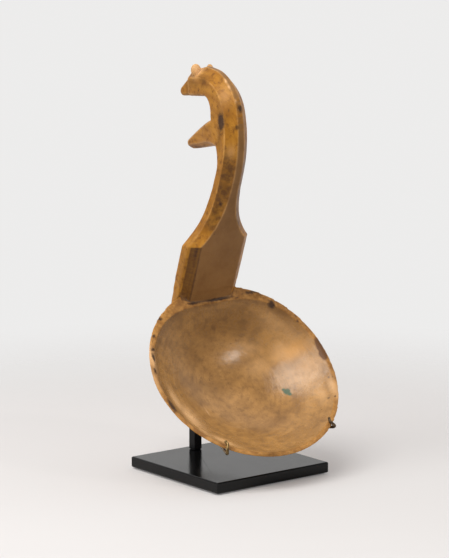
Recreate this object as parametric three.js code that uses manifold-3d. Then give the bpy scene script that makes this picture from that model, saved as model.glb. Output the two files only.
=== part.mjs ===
// Carved wooden feast ladle, with the small display stand that holds it.
// Millimetres, +Z up. Origin at the middle of the stand's underside; the bowl opens toward -Y.
import * as THREE from 'three';
import { mergeVertices } from 'three/addons/utils/BufferGeometryUtils.js';
import Module from 'manifold-3d';

const wasm = await Module();
wasm.setup();

// Bowl of the ladle
const bowlRadius = 71.4;
const bowlDepth = 36;
const bowlWall = 4.5;
const bowlFullness = 2.2;
const lipWidth = 2.5;
const lipAtHandle = 8.4;
const lipSpread = 41;
const lipSlope = 20;
const lipClearance = 0.02;
const rimBow = 3.4;
const rimSwell = 1.4;
const swellBearing = 42;
const swellSpread = 30;

// Handle root, a flat plate that stands on the lip
const plateWidth = 48.5;
const plateHeight = 48;
const leftShoulderDrop = 3.8;
const plateDepth = 16.1;
const plateInset = 8;
const footReach = 2;
const handleRise = 68.7;
const shoulderSlope = 25;
const heelDrop = 5;
const heelFair = 22;
const heelEndRadius = 27;
const heelEndWidth = 30;
const heelBevel = 0.6;

// Neck, faceted with a wide bevel along both front edges
const neckWidth = 18.8;
const waistDepth = 15.3;
const waistPlace = 16;
const neckDepth = 15.5;
const neckLength = 97;
const flareLength = 60;
const leftFlareHollow = 3.1;
const rightFlareHollow = 3.7;
const frontBevel = 6.8;
const backBevel = 3;

// Arch over to the head
const napeRadius = 83.5;
const napeTurn = 32;
const crownRadius = 34.7;
const crownTurn = 78;
const archDepth = 24.8;
const archBevel = 1;
const throatDepth = 18.5;

// Head
const headWidth = 17;
const headDroop = 50;
const headLength = 36.5;
const crownHeight = 19.6;
const crownPlace = 4;
const browHeight = 17.9;
const browPlace = 15;
const browBevel = 5.4;
const muzzleLength = 16;
const muzzleWidth = 11.4;
const muzzleHeight = 15.4;
const noseHeight = 4.6;
const noseWidth = 9;
const noseRound = 1.3;
const cheekStep = 0.7;

// Ears, uneven as they were carved
const earPlace = 10.8;
const earThickness = 4.6;
const leftEarOffset = 6.2;
const leftEarTop = 22.2;
const leftEarHeight = 9;
const leftEarWidth = 7.6;
const rightEarOffset = 5.4;
const rightEarTop = 21;
const rightEarHeight = 8;
const rightEarWidth = 4.8;

// Forelimb on the back of the neck, which also serves to hang the ladle
const limbStation = 128.4;
const limbHeading = -62;
const limbLength = 42.2;
const limbRise = 10;
const limbFall = 6.4;
const limbWeb = 4;
const limbWebLength = 13;
const limbTipDepth = 6.6;
const limbTipWidth = 12.5;
const limbBevel = 3.3;
const limbTopBevel = 1.2;

// How the ladle sits on the stand
const bowlLean = 43.4;
const ladleYaw = -6;
const ladleRoll = -3;
const rimCentreY = -19.5;
const rimCentreZ = 77.3;

// Stand
const baseSide = 100;
const baseThickness = 7.8;
const baseEdge = 0.6;
const feltThickness = 0.8;
const feltInset = 3;
const postSide = 6.4;
const postHeight = 36;
const postInset = 10.2;
const screwDiameter = 3;
const screwHeadDiameter = 6;
const screwHeadHeight = 1.7;
const screwGrip = 12;
const screwDriveWidth = 0.9;
const screwDriveDepth = 0.9;

// Brass prongs and the padded rest
const wireDiameter = 2.2;
const socketDepth = 4.2;
const leftProngAngle = -127;
const rightProngAngle = -51;
const leftProngHeight = 22;
const rightProngHeight = 17.5;
const hookOverlap = 3.4;
const hookDrop = 2.4;
const hookReach = 2.6;
const hookCurl = 3;
const hookLean = 2;
const restHeight = 29.5;
const restDiameter = 3;
const restPlateDiameter = 10;
const restPlateThickness = 1.4;
const padDiameter = 12;
const padThickness = 2.4;

// Clearances
const seatGap = 0.05;
const fitGap = 0.25;
const holdGap = 0.3;

// Smoothness of the turned, swept and lofted forms
const bowlSegments = 72;
const bowlRings = 12;
const lipRings = 4;
const loftStep = 3;
const heelSteps = 8;
const limbSteps = 8;
const wireSteps = 40;
const wireSides = 6;
const roundSides = 32;

const radians = THREE.MathUtils.degToRad;
const plane = (y, z) => new THREE.Vector2(y, z);
const heading = (degrees) => plane(Math.cos(radians(degrees)), Math.sin(radians(degrees)));

// A closed geometry as a solid that can be joined and cut, with its faces turned outward
function solid(geometry) {
  geometry.deleteAttribute('normal');
  geometry.deleteAttribute('uv');
  const welded = mergeVertices(geometry, 1e-4);
  const points = welded.getAttribute('position').array;
  const corner = (i) => new THREE.Vector3().fromArray(points, 3 * i);
  const triangles = [];
  let volume = 0;
  for (let i = 0; i < welded.index.count; i += 3) {
    const [a, b, c] = [0, 1, 2].map((k) => welded.index.getX(i + k));
    if (a === b || b === c || c === a) continue;
    triangles.push([a, b, c]);
    volume += corner(a).dot(corner(b).cross(corner(c)));
  }
  const ordered = triangles.map(([a, b, c]) => (volume > 0 ? [a, b, c] : [a, c, b]));
  return new wasm.Manifold(new wasm.Mesh({
    numProp: 3,
    vertProperties: new Float32Array(points),
    triVerts: new Uint32Array(ordered.flat()),
  }));
}

// A joined or cut solid back as a geometry with flat facets
function geometryOf(manifold) {
  const mesh = manifold.getMesh();
  const geometry = new THREE.BufferGeometry();
  geometry.setAttribute('position', new THREE.BufferAttribute(new Float32Array(mesh.vertProperties), 3));
  geometry.setIndex(new THREE.BufferAttribute(new Uint32Array(mesh.triVerts), 1));
  geometry.computeVertexNormals();
  return geometry;
}

function material(color, roughness, metalness) {
  return new THREE.MeshStandardMaterial({ color, roughness, metalness });
}

function piece(name, manifold, finish) {
  const mesh = new THREE.Mesh(geometryOf(manifold), finish);
  mesh.name = name;
  return mesh;
}

// A solid turned about Z from a profile of [radius, height] pairs that starts and ends on the axis
function turned(profile, segments = roundSides) {
  const points = profile.map(([radius, height]) => new THREE.Vector2(radius, height));
  return new THREE.LatheGeometry(points, segments).rotateX(Math.PI / 2);
}

// A solid skinned over rings of equal count, with a flat cap on each end
function lofted(rings) {
  const count = rings[0].length;
  const positions = rings.flat().flatMap((point) => [point.x, point.y, point.z]);
  const index = [];
  for (let i = 0; i + 1 < rings.length; i += 1) {
    for (let k = 0; k < count; k += 1) {
      const a = i * count + k;
      const b = i * count + ((k + 1) % count);
      index.push(a, b, b + count, a, b + count, a + count);
    }
  }
  const last = (rings.length - 1) * count;
  for (let k = 1; k + 1 < count; k += 1) {
    index.push(0, k + 1, k);
    index.push(last, last + k, last + k + 1);
  }
  const geometry = new THREE.BufferGeometry();
  geometry.setAttribute('position', new THREE.Float32BufferAttribute(positions, 3));
  geometry.setIndex(index);
  return solid(geometry);
}

// An eight-sided section across the handle, between a front point and a back point of its side view
function section({ front, back, width, left = width / 2, right = width / 2, bevel, heel }) {
  const inward = back.clone().sub(front).normalize();
  const frontEdge = front.clone().addScaledVector(inward, bevel);
  const backEdge = back.clone().addScaledVector(inward, -heel);
  const corners = [
    [right - bevel, front],
    [right, frontEdge],
    [right, backEdge],
    [right - heel, back],
    [heel - left, back],
    [-left, backEdge],
    [-left, frontEdge],
    [bevel - left, front],
  ];
  return corners.map(([x, point]) => new THREE.Vector3(x, point.x, point.y));
}

// Blend from one value to another as a place runs from a start to an end, with level ends
function blend(from, to, place, start, end) {
  return from + (to - from) * THREE.MathUtils.smoothstep(place, start, end);
}

// Bowl: a turned shell whose sides dip below its two ends, hollowed off-round to leave a broad lip
const rimDip = (x) => -rimBow * (x / bowlRadius) ** 2;

function bowlForm(depth, radiusAt, top) {
  const profile = [];
  for (let i = 0; i <= bowlRings; i += 1) {
    const share = Math.sin((i / bowlRings) * Math.PI / 2);
    profile.push([share * bowlRadius, -depth * (1 - share ** bowlFullness)]);
  }
  if (top > 0) profile.push([bowlRadius, top]);
  profile.push([0, top]);
  const geometry = turned(profile, bowlSegments);
  const points = geometry.getAttribute('position');
  for (let i = 0; i < points.count; i += 1) {
    const bearing = Math.atan2(points.getY(i), points.getX(i));
    const scale = radiusAt(bearing) / bowlRadius;
    const x = points.getX(i) * scale;
    points.setXYZ(i, x, points.getY(i) * scale, points.getZ(i) + rimDip(x));
  }
  return solid(geometry);
}

// How close a bearing round the rim lies to another, from 0 to 1
function nearness(bearing, middle, spread) {
  const turn = bearing - radians(middle);
  const away = Math.atan2(Math.sin(turn), Math.cos(turn)) / radians(spread);
  return Math.exp(-away * away);
}

// The lip is broad at the handle, and the rim swells a little to the right of it
const nearHandle = (bearing) => nearness(bearing, 90, lipSpread);
const rimRadius = (bearing) => bowlRadius + rimSwell * nearness(bearing, swellBearing, swellSpread);
const lipAt = (bearing) => THREE.MathUtils.lerp(lipWidth, lipAtHandle, nearHandle(bearing));
const hollowRadius = (bearing) => rimRadius(bearing) - lipAt(bearing);

// What is cut from the top of the lip so that it slopes in toward the hollow near the handle
function lipCut() {
  const inner = bowlRadius - 2 * lipAtHandle;
  const profile = [[0, -1]];
  for (let i = 0; i <= lipRings; i += 1) profile.push([inner + (bowlRadius - inner) * i / lipRings, -1]);
  profile.push([bowlRadius, 1], [0, 1]);
  const geometry = turned(profile, bowlSegments);
  const points = geometry.getAttribute('position');
  const fall = Math.tan(radians(lipSlope));
  for (let i = 0; i < points.count; i += 1) {
    const [x, y] = [points.getX(i), points.getY(i)];
    const radius = Math.hypot(x, y);
    const slope = radius > inner / 2 ? fall * nearHandle(Math.atan2(y, x)) : 0;
    const under = lipClearance - slope * (bowlRadius - radius);
    points.setZ(i, rimDip(x) + (points.getZ(i) < 0 ? under : 1));
  }
  return solid(geometry);
}

const bowlBlank = bowlForm(bowlDepth, rimRadius, 0);
const hollow = bowlForm(bowlDepth - bowlWall, hollowRadius, 1);
const bowl = bowlBlank.subtract(lipCut()).subtract(hollow);

// Side view of the handle: a straight front line from the lip, then a slow arc and a tight one to the head
const foot = plane(bowlRadius - plateInset, 0);
const rise = heading(handleRise);
const napeLength = napeRadius * radians(napeTurn);
const archLength = napeLength + crownRadius * radians(crownTurn);

// A point on an arc that turns down from a start, with the outward bearing of the line there
function arc(start, bearing, radius, length) {
  const centre = start.clone().addScaledVector(heading(bearing - 90), radius);
  const onward = bearing - THREE.MathUtils.radToDeg(length / radius);
  return { point: centre.addScaledVector(heading(onward + 90), radius), bearing: onward };
}

const napeStart = foot.clone().addScaledVector(rise, neckLength);
const napeEnd = arc(napeStart, handleRise, napeRadius, napeLength);

function frontLine(s) {
  const past = s - neckLength;
  if (past <= 0) return { point: foot.clone().addScaledVector(rise, s), bearing: handleRise };
  if (past <= napeLength) return arc(napeStart, handleRise, napeRadius, past);
  return arc(napeEnd.point, napeEnd.bearing, crownRadius, past - napeLength);
}

// Each side narrows from its shoulder in a hollow flare, and the depth swells again over the arch
const leftShoulder = plateHeight - leftShoulderDrop;

function halfWidth(s, shoulder, hollowness) {
  const along = THREE.MathUtils.clamp((s - shoulder) / flareLength, 0, 1);
  const neck = neckWidth + (plateWidth - neckWidth) * (1 - along) ** hollowness;
  const width = s < neckLength ? neck : blend(neckWidth, headWidth, s, neckLength, neckLength + archLength);
  return width / 2;
}

function handleDepth(s) {
  const archMiddle = neckLength + archLength / 2;
  if (s > archMiddle) return blend(archDepth, throatDepth, s, archMiddle, neckLength + archLength);
  if (s > neckLength) return blend(neckDepth, archDepth, s, neckLength, archMiddle);
  const waist = plateHeight + waistPlace;
  if (s > waist) return waistDepth + (neckDepth - waistDepth) * (s - waist) / (neckLength - waist);
  return blend(plateDepth, waistDepth, s, plateHeight, waist);
}

// The shoulders are cut on a slope, lower at the back, which dies out up the neck
function handleSection(s) {
  const { point, bearing } = frontLine(s);
  const slope = blend(shoulderSlope, 0, s, plateHeight + waistPlace, neckLength);
  const reach = handleDepth(s) / Math.cos(radians(slope));
  const back = point.clone().addScaledVector(heading(bearing - 90 - slope), reach);
  const heel = blend(backBevel, archBevel, s, neckLength, neckLength + archLength / 2);
  const left = halfWidth(s, leftShoulder, leftFlareHollow);
  const right = halfWidth(s, plateHeight, rightFlareHollow);
  return { front: point, back, left, right, bevel: frontBevel, heel };
}

// Heel: below the lip the back of the plate sweeps round to meet the underside of the bowl
const heelStart = handleSection(-heelDrop);
const heelTurn = heelStart.back.clone().addScaledVector(rise, -heelFair);
const heelDepth = bowlDepth * (1 - (heelEndRadius / bowlRadius) ** bowlFullness);
const heelTail = plane(heelEndRadius, bowlWall / 2 - heelDepth);
const heelLine = new THREE.QuadraticBezierCurve(heelTail, heelTurn, heelStart.back);
const heelSections = heelLine.getPoints(heelSteps).slice(0, -1).map((back, i) => {
  const share = i / heelSteps;
  const front = back.clone().lerp(heelStart.front, share).add(plane(0, plateDepth * (1 - share)));
  const width = THREE.MathUtils.lerp(heelEndWidth, plateWidth, share);
  return { front, back, width, bevel: heelBevel, heel: backBevel };
});

// Head: sections square to the line of the chin, which starts where the throat ends
const throat = handleSection(neckLength + archLength);
const chin = throat.back;
const headAxis = heading(-headDroop);
const headUp = heading(90 - headDroop);
const onHead = (along, up) => chin.clone().addScaledVector(headAxis, along).addScaledVector(headUp, up);
const muzzleStart = headLength - muzzleLength;
const cheekWidth = headWidth - cheekStep;
const cheekBevel = browBevel - noseRound;
const noseBevel = 2 * noseRound;

function headSection(along, top, bottom, width, bevel, heel) {
  return { front: onHead(along, top), back: onHead(along, bottom), width, bevel, heel };
}

const headSections = [
  headSection(crownPlace, crownHeight, 0, headWidth, frontBevel, noseRound),
  headSection(browPlace, browHeight, 0, headWidth, browBevel, noseRound),
  headSection(muzzleStart - cheekStep, muzzleHeight + cheekStep, 0, cheekWidth, cheekBevel, noseRound),
  headSection(muzzleStart, muzzleHeight, 0, muzzleWidth, noseBevel, noseRound),
  headSection(headLength - noseBevel, noseHeight + noseBevel, 0, muzzleWidth, noseBevel, noseRound),
  headSection(headLength, noseHeight, noseRound, noseWidth, noseRound, noseRound),
];

const stations = [leftShoulder, plateHeight];
for (let s = 0; s < neckLength + archLength; s += loftStep) stations.push(s);
const handleSections = stations.sort((a, b) => a - b).map(handleSection);
const handleRings = [...heelSections, heelStart, ...handleSections, throat, ...headSections].map(section);
const handle = lofted(handleRings).subtract(hollow.trimByPlane([0, 0, -1], footReach));

// Ears: two flattened knobs that stand up from the bevels of the crown
function ear(across, top, width, height) {
  const middle = onHead(earPlace, top - height / 2);
  const knob = new THREE.SphereGeometry(0.5, 14, 10);
  knob.scale(width, earThickness, height);
  knob.rotateX(-radians(headDroop));
  knob.translate(across, middle.x, middle.y);
  return solid(knob);
}

const leftEar = ear(-leftEarOffset, leftEarTop, leftEarWidth, leftEarHeight);
const rightEar = ear(rightEarOffset, rightEarTop, rightEarWidth, rightEarHeight);

// Forelimb: a tapered arm that leaves the back of the neck flush with its sides, blunt at the paw
const limbOut = heading(limbHeading);
const limbUp = heading(limbHeading + 90);
const limbRoot = handleSection(limbStation);
const limbRootWidth = limbRoot.left + limbRoot.right;

function limbSection(along, top, bottom, width) {
  const middle = limbRoot.back.clone().addScaledVector(limbOut, along);
  const front = middle.clone().addScaledVector(limbUp, top);
  const back = middle.clone().addScaledVector(limbUp, -bottom);
  const bevel = Math.min(limbTopBevel, (top + bottom) / 4);
  const heel = Math.min(limbBevel, (top + bottom) / 2);
  return { front, back, width, bevel, heel };
}

function limbSections() {
  const arm = limbLength - limbTipDepth / 2;
  const tip = limbTipDepth / 2;
  const sections = [limbSection(-limbWebLength / 2, limbRise, limbFall + limbWeb, limbRootWidth)];
  for (let i = 0; i <= limbSteps; i += 1) {
    const share = i / limbSteps;
    const web = limbWeb * (1 - THREE.MathUtils.clamp(share * arm / limbWebLength, 0, 1)) ** 2;
    const top = limbRise + (tip - limbRise) * share ** 1.4;
    const bottom = limbFall + (tip - limbFall) * share ** 2 + web;
    const width = THREE.MathUtils.lerp(limbRootWidth, limbTipWidth, share);
    sections.push(limbSection(share * arm, top, bottom, width));
  }
  sections.push(limbSection(limbLength, tip / 2, tip / 2, limbTipWidth - limbTipDepth / 2));
  return sections;
}

const forelimb = lofted(limbSections().map(section));

const carving = bowl.add(handle).add(forelimb).add(leftEar).add(rightEar);
const ladle = piece('ladle', carving, material(0xa8712f, 0.42, 0));

// The ladle's own frame: X across, Y from the tip of the bowl to the handle, Z out of the bowl
const ladlePlace = new THREE.Group();
ladlePlace.rotation.set(radians(90 - bowlLean), radians(ladleRoll), radians(ladleYaw), 'ZYX');
ladlePlace.position.set(0, rimCentreY, rimCentreZ);
ladlePlace.add(ladle);
ladlePlace.updateMatrixWorld(true);
const fromLadle = (x, y, z) => ladlePlace.localToWorld(new THREE.Vector3(x, y, z));

// Stand: felt, base plate, square post and the screw that draws the post down onto the base
const baseBottom = feltThickness + seatGap;
const baseTop = baseBottom + baseThickness;
const postBottom = baseTop + seatGap;
const postY = baseSide / 2 - postInset;
const postFront = postY - postSide / 2;

function square(side) {
  const half = side / 2;
  return new THREE.Shape([
    new THREE.Vector2(-half, -half),
    new THREE.Vector2(half, -half),
    new THREE.Vector2(half, half),
    new THREE.Vector2(-half, half),
  ]);
}

function bar(side, height, edge) {
  return new THREE.ExtrudeGeometry(square(side), {
    depth: height - 2 * edge,
    bevelEnabled: edge > 0,
    bevelThickness: edge,
    bevelSize: edge,
    bevelOffset: -edge,
    bevelSegments: 1,
  }).translate(0, 0, edge);
}

// The screw's profile, let out by a gap to make the holes it goes through
function screwForm(gap, start) {
  const shank = screwDiameter / 2 + gap;
  const head = screwHeadDiameter / 2 + gap;
  const end = baseThickness + screwGrip + gap;
  return turned([
    [0, start],
    [head, start],
    [head, 0],
    [shank, screwHeadHeight],
    [shank, end],
    [0, end],
  ]).translate(0, postY, baseBottom);
}

const driveSlot = new THREE.BoxGeometry(screwHeadDiameter * 2, screwDriveWidth, screwDriveDepth)
  .translate(0, postY, baseBottom + screwDriveDepth / 2);
const screwHole = solid(screwForm(fitGap, -1));
const felt = piece(
  'base_felt',
  solid(bar(baseSide - 2 * feltInset, feltThickness, 0)),
  material(0x232323, 0.98, 0),
);
const basePlate = piece(
  'base_plate',
  solid(bar(baseSide, baseThickness, baseEdge).translate(0, 0, baseBottom)).subtract(screwHole),
  material(0x18181a, 0.34, 0),
);
const screwBlank = turned([
  [0, 0],
  [screwHeadDiameter / 2, 0],
  [screwDiameter / 2, screwHeadHeight],
  [screwDiameter / 2, baseThickness + screwGrip],
  [0, baseThickness + screwGrip],
]).translate(0, postY, baseBottom + seatGap);
const slottedScrew = solid(screwBlank).subtract(solid(driveSlot));
const screw = piece('post_screw', slottedScrew, material(0x8d8f92, 0.35, 1));

// A round rod along a smooth path through the given points
function rod(points, diameter) {
  const circle = new THREE.Shape().absarc(0, 0, diameter / 2, 0, 2 * Math.PI);
  const path = new THREE.CatmullRomCurve3(points, false, 'centripetal');
  return solid(new THREE.ExtrudeGeometry(circle, {
    steps: wireSteps,
    curveSegments: wireSides,
    bevelEnabled: false,
    extrudePath: path,
  }));
}

function socket(diameter, height) {
  const radius = diameter / 2 + fitGap;
  const bottom = socketDepth + fitGap;
  const hole = new THREE.CylinderGeometry(radius, radius, 2 * bottom, roundSides);
  return solid(hole.translate(0, postFront, height));
}

// Prong: a wire that leaves the post, runs under the bowl and hooks over the lip at a bearing
function prong(bearing, height, curl) {
  const out = heading(bearing);
  const along = heading(bearing + 90);
  const lip = rimDip(out.x * bowlRadius);
  const clear = wireDiameter / 2 + holdGap;
  const hook = (beyondRim, lift, aside) => fromLadle(
    out.x * (bowlRadius + beyondRim) + along.x * aside,
    out.y * (bowlRadius + beyondRim) + along.y * aside,
    lip + lift,
  );
  const rootHeight = postBottom + height;
  const exit = new THREE.Vector3(0, postFront - postSide, rootHeight);
  const bend = hook(hookReach, -hookDrop, hookLean);
  return rod([
    new THREE.Vector3(0, postFront + socketDepth, rootHeight),
    new THREE.Vector3(0, postFront, rootHeight),
    exit,
    exit.clone().lerp(bend, 0.5),
    exit.clone().lerp(bend, 0.95),
    bend,
    hook(hookReach, 0, hookLean / 2),
    hook(clear, clear + holdGap, 0),
    hook(-hookOverlap, clear + holdGap, curl / 4),
    hook(-hookOverlap - clear / 2, clear + holdGap, curl),
  ], wireDiameter);
}

const brass = () => material(0x8a7238, 0.38, 1);
const bronze = material(0x5c4526, 0.45, 1);
const leftProng = piece('left_prong', prong(leftProngAngle, leftProngHeight, -hookCurl), brass());
const rightProng = piece('right_prong', prong(rightProngAngle, rightProngHeight, hookCurl), bronze);

// Rest: a stub arm with a round plate and pad that meets the underside of the bowl squarely
const padTop = -bowlDepth - holdGap;
const padBottom = padTop - padThickness;
const plateTop = padBottom - seatGap;
const plateBottom = plateTop - restPlateThickness;
const restZ = postBottom + restHeight;
const restStem = rod([
  new THREE.Vector3(0, postFront + socketDepth, restZ),
  new THREE.Vector3(0, postFront, restZ),
  new THREE.Vector3(0, postFront - postSide, restZ),
  fromLadle(0, 0, plateBottom - restPlateDiameter / 2),
  fromLadle(0, 0, plateBottom + restPlateThickness / 2),
], restDiameter);
const onBowlAxis = (radius, bottom, top) => {
  const disc = turned([[0, bottom], [radius, bottom], [radius, top], [0, top]]);
  return solid(disc.applyMatrix4(ladlePlace.matrixWorld));
};
const restPlate = onBowlAxis(restPlateDiameter / 2, plateBottom, plateTop);
const restArm = piece('rest_arm', restStem.add(restPlate), brass());
const padDisc = onBowlAxis(padDiameter / 2, padBottom, padTop);
const restPad = piece('rest_pad', padDisc, material(0x2b2a28, 0.97, 0));

const sockets = socket(wireDiameter, postBottom + leftProngHeight)
  .add(socket(wireDiameter, postBottom + rightProngHeight))
  .add(socket(restDiameter, restZ));
const postBlank = solid(bar(postSide, postHeight, baseEdge).translate(0, postY, postBottom));
const post = piece('post', postBlank.subtract(screwHole).subtract(sockets), material(0x161617, 0.4, 0));

const stand = new THREE.Group();
stand.add(felt, basePlate, screw, post, leftProng, rightProng, restArm, restPad);
const ladleOnStand = new THREE.Group();
ladleOnStand.add(stand, ladlePlace);

export default ladleOnStand;
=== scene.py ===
import math

import bmesh
import bpy
import numpy as np
from mathutils import Euler, Matrix, Vector, noise


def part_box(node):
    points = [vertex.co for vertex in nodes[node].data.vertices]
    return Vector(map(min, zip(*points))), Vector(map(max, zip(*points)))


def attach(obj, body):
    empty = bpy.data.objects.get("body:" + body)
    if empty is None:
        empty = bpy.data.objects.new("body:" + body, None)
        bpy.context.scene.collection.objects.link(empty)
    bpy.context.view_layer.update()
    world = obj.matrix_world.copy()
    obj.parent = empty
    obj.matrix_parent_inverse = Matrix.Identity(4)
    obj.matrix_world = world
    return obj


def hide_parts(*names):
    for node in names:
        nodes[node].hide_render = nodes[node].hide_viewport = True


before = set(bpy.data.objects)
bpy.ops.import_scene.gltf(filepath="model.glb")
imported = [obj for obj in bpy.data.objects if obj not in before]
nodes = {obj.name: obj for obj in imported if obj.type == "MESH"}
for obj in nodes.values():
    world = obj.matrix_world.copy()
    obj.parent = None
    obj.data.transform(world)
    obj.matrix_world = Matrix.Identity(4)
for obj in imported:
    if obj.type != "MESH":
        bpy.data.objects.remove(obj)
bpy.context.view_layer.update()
scene = bpy.context.scene
MM = 0.001

# Camera, from the square base plate as the photograph shows it
VIEW_AZIMUTH = -38.24
VIEW_ELEVATION = 9.08
VIEW_DISTANCE = 1.6
VIEW_TARGET = (-0.00274, 0.00216, 0.1388)
VIEW_LENS = 146.48

# The ladle's own frame: X across, Y from the tip of the bowl to the handle, Z out of the bowl
LADLE_TURN = (46.6, -3.0, -6.0)
RIM_CENTRE = (0.0, -0.0195, 0.0773)
# the rim in millimetres, with its swell at one bearing in degrees, and the slope of the handle
BOWL_RADIUS = 71.4
RIM_BOW = 3.4
RIM_SWELL = 1.4
SWELL_BEARING = 42.0
SWELL_SPREAD = 30.0
HANDLE_RISE = 68.7
# directions along the parts of the ladle
ALONG_NECK = (0.0, 0.36, 0.93)
ALONG_ARCH = (0.0, 0.68, 0.73)
ALONG_HEAD = (0.0, 0.64, -0.77)
UP_HEAD = (0.0, 0.77, 0.64)
DOWN_FORELIMB = (0.0, 0.54, -0.84)
ACROSS = (1.0, 0.0, 0.0)
LENGTHWISE = (0.0, 1.0, 0.0)
RISING = (0.7, 0.7, 0.0)
FALLING = (0.7, -0.7, 0.0)
DOWN_LEFT_WALL = (0.09, -0.94, 0.33)
UP_RIGHT_WALL = (0.81, -0.05, 0.59)

# Marks on the wood, in its own frame: centre, direction, half length, half width, strength
BURNT_MARKS = [
    # knots and burns on the arch and neck
    ((-9.0, 130.3, 116.9), ALONG_ARCH, 7.0, 4.2, 1.4),
    ((0.9, 130.5, 129.2), ALONG_ARCH, 3.6, 2.4, 0.9),
    ((1.6, 135.6, 131.5), ALONG_ARCH, 2.0, 1.6, 0.6),
    ((-2.7, 121.2, 121.6), ALONG_ARCH, 2.8, 2.3, 0.55),
    ((2.8, 119.0, 123.3), ALONG_ARCH, 5.0, 1.8, 0.6),
    ((-5.8, 132.3, 126.0), ALONG_ARCH, 1.9, 1.0, 0.55),
    ((-6.8, 94.0, 70.3), ALONG_NECK, 3.2, 2.4, 0.6),
    ((17.5, 86.0, 50.0), ALONG_NECK, 3.5, 3.5, 0.5),
    ((9.1, 128.0, 112.0), ALONG_ARCH, 5.0, 3.0, 0.8),
    # head
    ((-8.5, 164.3, 109.7), ALONG_HEAD, 1.0, 0.9, 0.8),
    ((-7.7, 170.9, 117.0), ALONG_HEAD, 2.6, 1.7, 0.55),
    # a dark line where the plate stands on the lip
    ((-14.0, 61.4, -2.9), ACROSS, 10.0, 1.5, 0.8),
    ((8.0, 61.7, -3.2), ACROSS, 17.0, 1.5, 1.0),
    # chips and scorches round the rim
    ((-46.6, 52.7, -1.6), ACROSS, 2.6, 1.9, 0.85),
    ((-56.9, 40.2, -2.3), ACROSS, 2.2, 1.6, 0.75),
    ((-61.9, 30.0, -2.7), ACROSS, 2.4, 1.9, 0.85),
    ((-63.8, 23.2, -3.0), LENGTHWISE, 4.6, 1.6, 1.1),
    ((-67.0, 13.0, -3.2), LENGTHWISE, 3.0, 1.6, 1.0),
    ((-66.4, -15.0, -3.7), LENGTHWISE, 6.5, 3.0, 1.3),
    ((46.2, 49.6, -2.3), LENGTHWISE, 4.4, 3.2, 1.0),
    ((33.0, 61.8, -1.0), ACROSS, 8.0, 2.0, 0.8),
    ((21.0, 59.8, -2.4), ACROSS, 3.0, 1.2, 0.55),
    ((61.1, 37.0, -2.6), LENGTHWISE, 2.0, 1.2, 0.7),
    ((60.6, 32.3, -2.8), LENGTHWISE, 2.6, 1.2, 0.65),
    ((64.4, -16.0, -4.9), LENGTHWISE, 1.6, 1.2, 0.55),
    ((59.9, -33.1, -2.5), ACROSS, 1.6, 1.2, 0.8),
    ((56.2, -31.9, -5.9), ACROSS, 2.6, 1.1, 0.6),
    ((66.8, -16.9, -3.4), ACROSS, 1.8, 1.4, 0.5),
    # specks in the bowl
    ((40.9, 1.8, -22.4), ACROSS, 1.6, 0.9, 0.55),
    ((-19.2, 14.7, -28.4), ACROSS, 1.1, 1.0, 0.65),
    ((-36.0, 28.0, -18.0), ACROSS, 0.9, 0.8, 0.5),
    ((12.0, 40.0, -18.5), ACROSS, 0.9, 0.8, 0.45),
]
# Brown patina, with painted shade on the neck's front, under the forelimb and over the top of the bowl
BROWN_AND_SHADE_MARKS = [
    # neck and arch; the long mark on the neck's front is painted shade
    ((-8.7, 91.5, 62.8), ALONG_NECK, 9.0, 3.2, 0.7),
    ((-5.9, 99.3, 83.0), ALONG_NECK, 9.0, 2.6, 0.55),
    ((-11.3, 98.7, 60.4), ALONG_NECK, 12.0, 4.0, 0.35),
    ((-5.7, 103.8, 94.0), ALONG_NECK, 4.0, 2.4, 0.5),
    ((-9.2, 123.9, 107.1), ALONG_ARCH, 9.0, 3.6, 0.7),
    ((-8.8, 139.8, 121.3), ALONG_ARCH, 8.0, 2.4, 0.3),
    ((2.0, 90.5, 68.0), ALONG_NECK, 22.0, 8.0, 0.4),
    # head and forelimb; the marks under the forelimb are painted shade
    ((-8.5, 173.0, 108.0), ALONG_HEAD, 6.5, 3.0, 0.55),
    ((8.5, 173.0, 108.0), ALONG_HEAD, 6.5, 3.0, 0.55),
    ((-8.4, 166.2, 119.8), ALONG_HEAD, 7.0, 3.4, 0.6),
    ((7.0, 167.5, 118.0), ALONG_HEAD, 7.0, 3.4, 0.6),
    ((0.8, 172.8, 123.0), ALONG_HEAD, 8.0, 6.0, 0.4),
    ((-5.7, 178.1, 94.6), UP_HEAD, 6.5, 1.6, 0.5),
    ((5.7, 178.1, 94.6), UP_HEAD, 6.5, 1.6, 0.5),
    ((-4.0, 141.5, 74.5), DOWN_FORELIMB, 12.0, 2.4, 0.8),
    ((4.0, 141.5, 74.5), DOWN_FORELIMB, 12.0, 2.4, 0.8),
    # rim
    ((50.0, 44.0, -3.0), RISING, 3.0, 12.0, 0.5),
    ((38.0, 58.0, -1.0), ACROSS, 12.0, 3.0, 0.6),
    ((-16.0, -68.5, -0.8), ACROSS, 22.0, 3.0, 0.9),
    # bowl; the marks over its top and upper left are painted shade
    ((-5.0, 59.0, -4.4), ACROSS, 17.0, 2.6, 0.5),
    ((-16.0, 54.0, -9.0), ACROSS, 22.0, 6.0, 0.45),
    ((-18.0, 32.0, -23.0), ACROSS, 30.0, 18.0, 0.26),
    ((4.0, 47.0, -15.0), ACROSS, 38.0, 13.0, 0.6),
    ((22.0, -32.0, -25.0), RISING, 15.0, 7.0, 0.3),
    ((-8.0, -40.0, -24.0), ACROSS, 14.0, 6.0, 0.25),
    # left side of the plate
    ((-24.0, 76.0, 18.0), ALONG_NECK, 30.0, 6.0, 0.4),
]
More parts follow.
